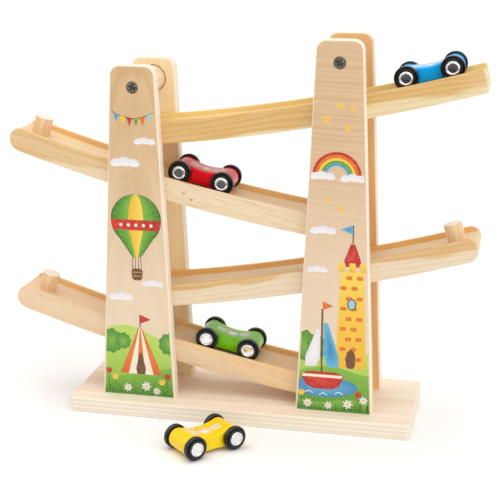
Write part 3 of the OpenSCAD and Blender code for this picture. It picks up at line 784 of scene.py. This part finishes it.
# Left picture, from the ground up: meadow, bushes, tent, flowers, balloon, clouds and a row of small flags.
spots = []
ink(1, lime, ground(50 + 8 * np.cos(2.6 * wide + 0.7)))
ink(3, grass, ground(21 + 5 * np.sin(2.3 * wide - 0.6)))
for layer, x, size in ((2, -22, 9), (3, -12, 6), (2, 25, 8)):
    ink(layer, bush, bush_at(x, 46 - size * 0.2, size))
foot = np.linspace(-15, 19, 6)
for side in range(5):
    panel = [(foot[side], 18), (foot[side + 1], 18), (1.4 + side * 0.4, 57), (1.0 + side * 0.4, 57)]
    ink(4, (orange, cream)[side % 2], panel)
ink(5, brown, soft((-3, 18), (7, 18), (2, 40)))
ink(3, brown, stroke(2, 56, 2, 67, 0.9))
ink(4, red, [(2.3, 67), (2.3, 60), (11, 63.5)])
for x, z, petal in ((23.5, 15, red), (-19.5, 12, sun), (-24.5, 17, red), (19, 10, sun)):
    tulip(5, x, z, petal)
blades(7, grass_row + 1.6 * np.sin(grass_row), 6.5 + 2.4 * np.sin(grass_row * 1.7))
for x, z, size in ((-9, 6, 2.9), (6, 8, 3.3), (14.5, 4.5, 2.6)):
    daisy(9, x, z, size)

BALLOON_R = 20
BALLOON_X = 0.6
BALLOON_Z = 143
turn = np.radians(np.linspace(-48, 90, 24))
bulge, height = BALLOON_R * np.cos(turn), BALLOON_Z + BALLOON_R * np.sin(turn)
swell = np.r_[np.linspace(3.4, bulge[0], 6)[:-1], bulge]
rise = np.r_[np.linspace(113.5, height[0], 6)[:-1], height]
gores = np.sin(np.radians([-90, -52, -17, 17, 52, 90]))
for gore, colour in enumerate((leaf, grass, sun, grass[::-1], leaf[::-1])):
    share = np.linspace(gores[gore], gores[gore + 1], 4)[:, None]
    ink(2, colour, grid(BALLOON_X + share * swell, rise))
belt = slice(9, 14)
ink(3, red, grid(BALLOON_X + np.linspace(-1, 1, 12)[:, None] * swell[belt], rise[belt]))
for x in (-12, -6, 0, 6, 12):
    ink(4, cream, oval(BALLOON_X + x, rise[belt].mean(), 1.3, 1.3, count=24))
for x in (-3, -1.1, 1.1, 3):
    ink(2, brown, stroke(BALLOON_X + x * 1.05, 113.6, BALLOON_X + x * 1.2, 104, 0.5))
ink(3, brown, soft((-4.2, 104.4), (-3.4, 95), (4.6, 95), (5.4, 104.4)))
ink(4, straw, stroke(-3.6, 101.5, 4.8, 101.5, 1.0), stroke(-3.2, 98.4, 4.4, 98.4, 1.0))
ink(1, white, cloud(-13, 80, 20), cloud(13, 92, 17), cloud(-7, 186, 23), cloud(9, 203, 17))


def flag_line(x):
    """Height of the line that the flags hang on, which sags with the square of the way from its middle."""
    return 221 + 5.5 * (x / 17) ** 2


string = np.linspace(-16, 16, 25)
ink(2, brown, grid(string, flag_line(string) + np.array([[0.35], [-0.35]])))
flag = np.linspace(-15.5, 15.5, 7)
for x, colour in zip((flag[:-1] + flag[1:]) / 2, (water, sun, red, grass, orange, sky)):
    ink(3, colour, [(x - 2.1, flag_line(x - 2.1)), (x + 2.1, flag_line(x + 2.1)), (x, flag_line(x) - 6.4)])
picture("left_picture", spots, "left_front_post")

# Right picture: banks, bushes, brick tower, boat on a pond, flowers, rainbow, clouds and stars.
spots = []
ink(1, lime, ground(52 + 9 * np.cos(3.1 * wide + 2.2) + 2 * np.sin(14 * wide)))
ink(3, grass, ground(34 + 3 * np.sin(4 * wide + 2)))
ink(7, grass, ground(9 + 1.5 * np.sin(5 * wide)))
ink(2, bush, bush_at(-23, 52, 11))
ink(3, bush, bush_at(-13, 52, 8))
storeys = np.array([[36.0], [66.0], [96.0], [112.0]])
half = np.interp(storeys, [36, 112], [11.5, 8.8])
ink(4, sun, grid(12.5 + half * np.linspace(-1, 1, 9), storeys))
for row, z in enumerate(np.arange(42, 108, 8.0)):
    for x in ((4, 12) if row % 2 else (8, 16)):
        ink(5, orange, soft((x, z), (x + 4.5, z), (x + 4.5, z + 3), (x, z + 3)))
for x in (-8.4, -0.2, 8.0):
    ink(4, sun, grid(12.7 + x + np.linspace(-2.4, 2.4, 5), np.array([[112.0], [119.0]])))
ink(6, brown, soft((9, 36), (16, 36), (16, 48), (12.5, 52), (9, 48)), oval(12.5, 87, 3.4, 4.6))
ink(7, sky, oval(12.5, 87, 2.5, 3.7))
ink(3, red, soft((4.5, 116), (20.5, 116), (12.5, 138)))
ink(3, brown, stroke(12.5, 134, 12.5, 148, 0.9))
ink(4, water, [(12.2, 148), (12.2, 141), (3, 144.5)])
ink(4, water[::-1], oval(-6, 20, 23.5, 8.5, 3, 0.03))
ink(6, red, soft((-27, 32), (9, 32), (3, 18), (-20, 18)))
ink(7, cream, stroke(-24.4, 28.6, 6.4, 28.6, 2.2))
ink(5, brown, stroke(-9.5, 30, -9.5, 82, 1.4))
ink(5, water, soft((-8.2, 80), (-8.2, 36), (6.5, 36)))
ink(5, white, soft((-10.8, 74), (-10.8, 36), (-25, 36)))
ink(6, orange, [(-9.2, 88), (-9.2, 81.5), (-1.6, 84.7)])
swing = np.linspace(-3.2, 3.2, 15)
for x, z in ((-19, 15.2), (-8, 14), (4, 15.4)):
    ink(8, white, grid(x + swing, z + 0.8 * np.cos(swing * 0.9) + np.array([[0.4], [-0.4]])))
blades(9, grass_row + 1.8 * np.cos(grass_row), 7 + 3 * np.sin(grass_row * 2.3))
for x, z, size in ((-20, 6, 3.0), (-4, 5, 2.6), (11, 7, 3.2), (23, 11, 2.8)):
    daisy(11, x, z, size)
tulip(8, 19, 13, red)
tulip(8, -25, 12, sun)
turn = np.linspace(0, np.pi, 33)
for stripe, colour in enumerate((red, orange, sun, grass, water)):
    radius = 18.2 - 2.1 * (stripe + np.array([[0.0], [1.0]]))
    ink(2, colour, grid(-0.5 + radius * np.cos(turn), 184 + radius * np.sin(turn)))
ink(3, white, cloud(-11.5, 183, 20), cloud(11.5, 182, 19), cloud(-10, 142, 20), cloud(-14, 112, 16))
ink(2, sun, star(-9, 226, 3.8), star(7, 220, 3.0), star(1, 236, 3.4), star(10, 234, 2.4), star(3, 160, 2.8),
    star(-6, 166, 2.4))
picture("right_picture", spots, "right_front_post")


# Cars: a block of hardwood with round ends, a hollow back and a shallower hollow belly, sprayed with gloss
# paint. Plain white marks are printed on the back: two stripes, broken by a disc in a ring.
AXLE_X = 17.0
CAR_END_R = 7.6
BACK_DIP = 3.1
BELLY_DIP = 1.3
CAR_HALF_W = 11.45
CAR_EDGE_R = 1.5
MARK_SIDES = 48


def paint(name, colour, dark):
    """Sprayed gloss paint: a slight cloud in the colour, a faint ripple, and a thin clear gloss over it."""
    finish = new_finish(name, Coat_Weight=0.5, Coat_Roughness=0.1, Specular_IOR_Level=0.08)
    haze = speckle(finish, 90.0)
    tint = haze.spread(0.3, 0.75).shade(colour, dark)
    return finish_off(tint, haze, (0.24, 0.34), speckle(finish, 300.0, 1.0), 0.015, 0.0002)


def hollow(dip):
    """Radius of a hollow of the given depth, height of its middle over the axles, and angle from there to
    an axle. The hollow touches the round end, so that line is both radii long."""
    radius = (AXLE_X ** 2 + dip ** 2) / (2 * dip) - CAR_END_R
    middle = CAR_END_R - dip + radius
    return radius, middle, np.arctan2(middle, AXLE_X)


def car_rings():
    """Rings through a car's body across its width. All arcs keep their middles: the ends' radius shrinks by
    the inset of the rounded edge and the hollows' radius grows by it."""
    heights, insets, _ = rounded_edges(-CAR_HALF_W, CAR_HALF_W, CAR_EDGE_R, 8)
    inset = insets[:, None]
    back_r, back_z, back_meet = hollow(BACK_DIP)
    belly_r, belly_z, belly_meet = hollow(BELLY_DIP)
    end_turn = np.linspace(belly_meet - np.pi, np.pi - back_meet, 40)
    back_turn = np.linspace(-back_meet, back_meet - np.pi, 24)[1:-1]
    belly_turn = np.linspace(np.pi - belly_meet, belly_meet, 24)[1:-1]
    end_x, end_z = (CAR_END_R - inset) * np.cos(end_turn), (CAR_END_R - inset) * np.sin(end_turn)
    x = np.hstack([AXLE_X + end_x, (back_r + inset) * np.cos(back_turn), -AXLE_X - end_x[:, ::-1],
                   (belly_r + inset) * np.cos(belly_turn)])
    z = np.hstack([end_z, back_z + (back_r + inset) * np.sin(back_turn), end_z[:, ::-1],
                   (belly_r + inset) * np.sin(belly_turn) - belly_z])
    return grid(x, heights[:, None], z)


def car_frame(colour):
    """Middle of a car and its axes forwards, left and up, from the places of its wheels."""
    front, rear = (np.mean(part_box(f"{colour}_car_{end}_wheels"), 0) / MM for end in ("front", "rear"))
    ahead = (front - rear) / np.linalg.norm(front - rear)
    left = np.cross((0, 0, 1), ahead) / np.linalg.norm(np.cross((0, 0, 1), ahead))
    return (front + rear) / 2, np.array([ahead, left, np.cross(ahead, left)])


def back_mark(x, y):
    """Places on a car's hollow back: the height of its arc at x, with the mark's thickness on top."""
    radius, middle, _ = hollow(BACK_DIP)
    return grid(x, y, middle - np.sqrt(radius ** 2 - x ** 2) + INK)


def round_mark(*radii):
    """Mark in rings of the given radii about the middle of the back."""
    turn = np.linspace(0, 2 * np.pi, MARK_SIDES, endpoint=False)
    return back_mark(np.outer(radii, np.cos(turn)), np.outer(radii, np.sin(turn)))


mark_finish = new_finish("white_mark_ink", Coat_Weight=0.3, Coat_Roughness=0.15)
mottle = speckle(mark_finish, 600.0, 3.0)
chalk = mottle.spread(0.3, 0.75).shade((246, 244, 240), (226, 222, 216))
finish_off(chalk, mottle, (0.28, 0.4), mottle, 0.05, 0.00005)

back_marks = [round_mark(0.3, 1.8, 3.2), round_mark(3.9, 4.8)]
for end, side in ((-1, -1), (-1, 1), (1, -1), (1, 1)):
    back_marks.append(back_mark(end * np.linspace(5.6, 13.0, 9), side * np.array([[0.6], [3.2]])))
mark_faces, first = [list(range(MARK_SIDES))], 0
for mark in back_marks:
    mark_faces += wall(*mark.shape[:2], first, mark.shape[1] == MARK_SIDES)
    first += mark.shape[0] * mark.shape[1]
mark_points = np.vstack([mark.reshape(-1, 3) for mark in back_marks])

paints = {"blue": ((0, 174, 246), (0, 164, 238)), "red": ((232, 4, 22), (220, 0, 16)),
          "green": ((124, 200, 4), (112, 188, 0)), "yellow": ((253, 214, 0), (249, 204, 0))}
for colour, (bright, dark) in paints.items():
    middle, axes = car_frame(colour)
    points, faces = board(car_rings())
    body = piece(colour + "_painted_body", middle + points @ axes, faces, colour + "_car",
                 paint(colour + "_gloss", bright, dark))
    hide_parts(colour + "_car_body")
    give_film(piece(colour + "_back_marks", middle + mark_points @ axes, mark_faces, colour + "_car",
                    mark_finish))


# Wheels: black plastic, moulded with a round-shouldered tread and a raised step on the outer face, pressed on
# a steel axle. The axles are hidden in the body and stay as the CAD has them. The profile is radius and
# distance outwards.
WHEEL_OUT = CAR_HALF_W + 0.6
SHOULDER_R = 0.9
STEP_EDGE_R = 0.5
quarter = np.linspace(0, np.pi / 2, 7)
sine, cosine = np.sin(quarter), np.cos(quarter)
wheel_profile = np.vstack([
    [(1.6, 0.0), (6.0, 0.0), (6.3, 0.15), (7.6, 0.15), (7.9, 0.0)],
    grid(8.1 + SHOULDER_R * sine, SHOULDER_R * (1 - cosine)), [(9.0, 1.9)],
    grid(8.1 + SHOULDER_R * cosine, 2.9 + SHOULDER_R * sine),
    [(7.6, 3.78), (7.35, 3.6), (7.0, 3.55), (6.9, 3.7), (6.9, 4.4)],
    grid(6.4 + STEP_EDGE_R * cosine, 4.5 + STEP_EDGE_R * sine)[1:],
    [(5.7, 5.0), (5.4, 4.93), (5.25, 4.75), (5.22, 4.2), (1.6, 4.2)]])

tyre_black = new_finish("tyre_black", Specular_IOR_Level=0.5)
haze, dust = speckle(tyre_black, 260.0, 4.0), speckle(tyre_black, 2200.0)
soot = haze.spread(0.35, 0.75).shade((12, 11, 12), (22, 21, 21))
soot = dust.spread(0.66, 0.8, 0.0, 0.12).shade(soot, (80, 78, 76))
finish_off(soot, haze, (0.16, 0.28), dust, 0.05, 0.00004)

axle_steel = new_finish("axle_steel", Metallic=1.0)
drawn = speckle(axle_steel, 1500.0, 3.0)
finish_off(drawn.shade((190, 190, 192), (150, 150, 152)), drawn, (0.2, 0.35), drawn, 0.1, 0.00003)


def on_axles(kind, profile, finish, cad_kind):
    """A turned piece on both ends of each axle, mirrored, in its car's own place."""
    for colour, end in axle_places:
        middle, axes = car_frame(colour)
        hub = middle + (AXLE_X if end == "front" else -AXLE_X) * axes[0]
        outwards = [side * axes[1] for side in (-1, 1)]
        points, faces = joined(*(board(turned(profile, hub + WHEEL_OUT * way, way)) for way in outwards))
        pair = piece(f"{colour}_{end}_{kind}", points, faces, f"{colour}_{end}_axle_set", finish)
        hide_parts(f"{colour}_car_{end}_{cad_kind}")


axle_places = [(colour, end) for colour in paints for end in ("front", "rear")]
on_axles("tyres", wheel_profile, tyre_black, "wheels")
for colour, end in axle_places:
    finish_cad(f"{colour}_car_{end}_axle", axle_steel)


# Hub caps: pressed and chromed discs with a raised rim, which slopes up from the wheel, and a shallow dish.
# They are pushed into the wheels' outer faces. The profile is like the wheels', radius and distance outwards.
DISH_R = 3.8
dish = np.linspace(DISH_R, 0.3, 8)
cap_profile = np.vstack([
    [(5.18, 4.25), (5.19, 4.95), (5.1, 5.1), (4.95, 5.2), (4.3, 5.46), (4.15, 5.5), (4.0, 5.42), (3.92, 5.25),
     (3.88, 4.85)], grid(dish, 4.62 + 0.16 * (dish / DISH_R) ** 2)])

chrome = new_finish("cap_chrome", Metallic=1.0)
smear = speckle(chrome, 500.0, 4.0)
finish_off(smear.shade((242, 242, 244), (224, 223, 224)), smear, (0.07, 0.15), smear, 0.05, 0.00003)

on_axles("hubs", cap_profile, chrome, "caps")


# Studio: a plain white floor, a bright even sky with soft lights, the strongest from above, and the photo's
# camera. Two dark cards in front of the toy only show in polished surfaces, as the dark end of a studio does.
SKY_GLOW = 0.54
CAMERA_PLACE = (0.2089, -0.9301, 0.3921)
CAMERA_TURN = 12.564
CAMERA_TILT = 15.515


def stage_sheet(name, corners, finish):
    """Flat sheet with four corners that belongs to the studio."""
    mesh = bpy.data.meshes.new(name)
    mesh.from_pydata(corners, [], [(0, 1, 2, 3)])
    mesh.materials.append(finish)
    sheet = placed(name, mesh)
    return sheet


def soft_sun(name, place, strength, spread_angle):
    """Far, very soft light from the direction of place."""
    lamp = bpy.data.lights.new(name, "SUN")
    lamp.energy, lamp.angle = strength, np.radians(spread_angle)
    placed(name, lamp).rotation_euler = Vector(place).to_track_quat("Z", "Y").to_euler()


floor_white = new_finish("studio_floor_white", Roughness=0.8, Specular_IOR_Level=0.1)
feeds = {0: speckle(floor_white, 3.0), 6: (0.94, 0.94, 0.94, 1), 7: (0.96, 0.96, 0.96, 1)}
off_white = node(floor_white, "Mix", feeds, 2, data_type="RGBA")
floor_shader = floor_white.node_tree.nodes["Principled BSDF"]
floor_white.node_tree.links.new(off_white.socket, floor_shader.inputs["Base Color"])
stage_sheet("studio_floor", [(-9, -9, 0), (9, -9, 0), (9, 9, 0), (-9, 9, 0)], floor_white)

card_grey = new_finish("studio_card_grey", Base_Color=(0.03, 0.028, 0.025, 1))
cards = {"low_card": [(-2, -0.45, 0.002), (2, -0.45, 0.002), (2, -3, 0.002), (-2, -3, 0.002)],
         "far_card": [(-2, -3, 0), (2, -3, 0), (2, -3, 0.7), (-2, -3, 0.7)]}
for name, corners in cards.items():
    card = stage_sheet(name, corners, card_grey)
    card.visible_camera = card.visible_diffuse = card.visible_shadow = card.visible_transmission = False

# The sky is white where it is seen, directly or in gloss, and its glow on the wood is less.
world = bpy.data.worlds.new("studio_sky")
bpy.context.scene.world = world
world.use_nodes = True
sky_light = world.node_tree.nodes["Background"]
sky_light.inputs["Color"].default_value = (1.0, 1.0, 1.0, 1.0)
in_gloss = node(world, "LightPath", {}, "Is Glossy Ray")
seen = node(world, "LightPath", {}, "Is Camera Ray").sums("MAXIMUM", in_gloss)
glow = seen * (1 - SKY_GLOW) + SKY_GLOW
world.node_tree.links.new(glow.socket, sky_light.inputs["Strength"])

soft_sun("key_light", (0.9, -0.4, 0.9), 0.7, 50)
soft_sun("top_light", (-0.15, 0.1, 1.0), 1.3, 60)
soft_sun("front_light", (0.55, -1.0, 0.4), 0.4, 50)
soft_sun("left_light", (-0.9, -0.2, 0.8), 0.25, 60)

lens = bpy.data.cameras.new("photo_camera")
lens.sensor_width, lens.lens, lens.clip_end = 36.0, 91.56, 50.0
camera = placed("photo_camera", lens)
camera.location = CAMERA_PLACE
turn, tilt = np.radians(CAMERA_TURN), np.radians(CAMERA_TILT)
back = Vector((np.sin(turn) * np.cos(tilt), -np.cos(turn) * np.cos(tilt), np.sin(tilt)))
camera.rotation_euler = back.to_track_quat("Z", "Y").to_euler()
bpy.context.scene.camera = camera
bpy.context.scene.view_settings.view_transform = "Standard"
